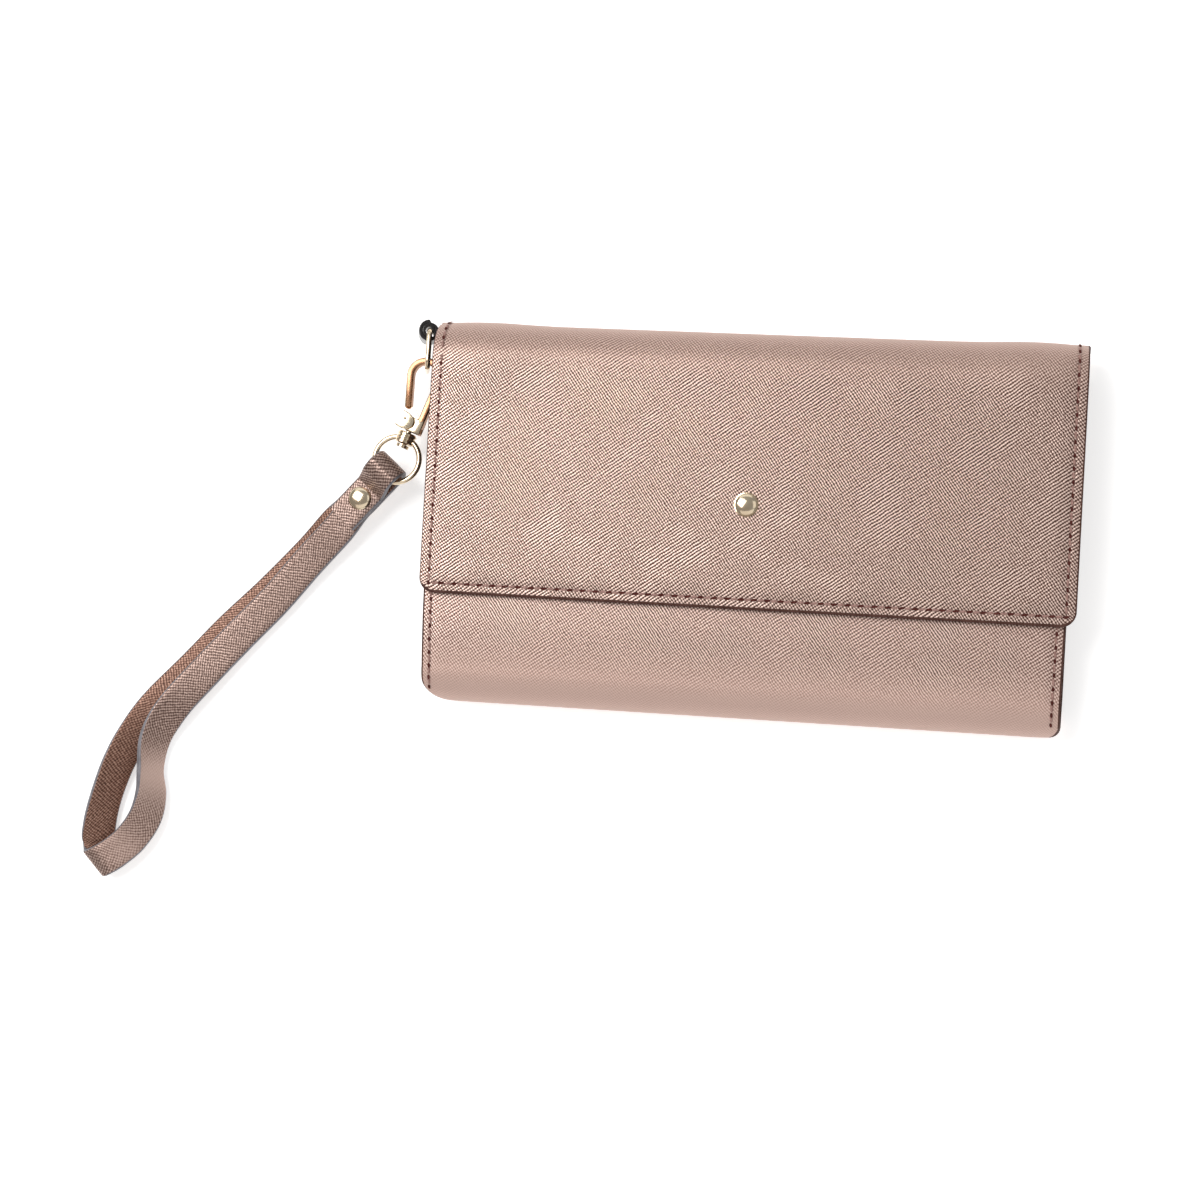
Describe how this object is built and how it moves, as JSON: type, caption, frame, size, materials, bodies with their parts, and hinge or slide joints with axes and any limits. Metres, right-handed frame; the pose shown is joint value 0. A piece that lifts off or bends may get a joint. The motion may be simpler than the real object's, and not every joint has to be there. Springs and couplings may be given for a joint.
{
  "type": "wristlet wallet",
  "caption": "Folded leather wallet with a wrap-over flap, side gussets and card pockets, and a wrist strap on a swivel snap hook.",
  "frame": {"origin": "centre of the back panel's outer face, which lies on the table", "axes": "+X along the wallet's width, away from the strap; +Y towards the top fold; +Z out of the front"},
  "size_m": [0.2616, 0.1536, 0.0212],
  "materials": {
    "rose_leather": "metallic rose gold crosshatch-embossed leather",
    "strap_leather": "metallic rose gold crosshatch-embossed leather with painted edges",
    "dark_leather": "smooth dark brown leather",
    "lining": "woven brown lining",
    "board": "fibre stiffening board",
    "thread": "waxed thread",
    "gold": "polished pale gold plating",
    "steel": "plain steel"
  },
  "bodies": {
    "wallet": {"outer_leather": "rose_leather", "back_board": "board", "front_board": "board", "bottom_foam": "board", "body_lining": "lining", "gusset_left": "dark_leather", "gusset_right": "dark_leather", "card_slot_1": "lining", "card_slot_2": "lining", "card_slot_3": "lining", "front_keeper": "steel", "side_stitching": "thread", "ring_tab": "dark_leather"},
    "spine": {"spine_leather": "rose_leather", "spine_lining": "lining"},
    "flap": {"flap_leather": "rose_leather", "flap_board": "board", "flap_lining": "lining", "flap_magnet": "steel", "flap_stud": "gold", "stud_washer": "steel", "flap_stitching": "thread"},
    "d_ring": {"d_ring": "gold"},
    "hook": {"hook_frame": "gold", "hook_post": "gold", "gate_pin": "steel", "gate_spring": "steel"},
    "gate": {"gate_lever": "gold"},
    "swivel": {"swivel_ring": "gold"},
    "strap": {"wrist_strap": "strap_leather", "strap_rivet_cap": "gold", "strap_rivet_post": "gold"}
  },
  "joints": [
    {"name": "spine_fold", "type": "hinge", "parent": "wallet", "child": "spine", "pos_m": [0, 0.04785, 0.00215], "axis": [-1, 0, 0], "range_deg": [0, 90]},
    {"name": "flap_fold", "type": "hinge", "parent": "spine", "child": "flap", "pos_m": [0, 0.04785, 0.01785], "axis": [-1, 0, 0], "range_deg": [0, 90]},
    {"name": "d_ring_swing", "type": "hinge", "parent": "wallet", "child": "d_ring", "pos_m": [-0.0886, 0.0472, 0.009], "axis": [-0.2419, 0, -0.9703], "range_deg": [0, 100]},
    {"name": "hook_swing", "type": "hinge", "parent": "d_ring", "child": "hook", "pos_m": [-0.0886, 0.0374, 0.009], "axis": [-0.2419, 0, -0.9703], "range_deg": [0, 60]},
    {"name": "gate_press", "type": "hinge", "parent": "hook", "child": "gate", "pos_m": [-0.0906, 0.02195, 0.009], "axis": [0, 0, -1], "range_deg": [0, 22], "stiffness_Nm_per_rad": 0.02},
    {"name": "swivel_spin", "type": "hinge", "parent": "hook", "child": "swivel", "pos_m": [-0.09248, 0.02061, 0.009], "axis": [0.342, 0.9397, 0], "continuous": true},
    {"name": "strap_swing", "type": "hinge", "parent": "swivel", "child": "strap", "pos_m": [-0.09836, 0.00947, 0.009], "axis": [-0.7547, 0.6561, 0], "range_deg": [-80, 80]}
  ],
  "couplings": [
    {"joint": "flap_fold", "follows": "spine_fold", "ratio": 1}
  ]
}
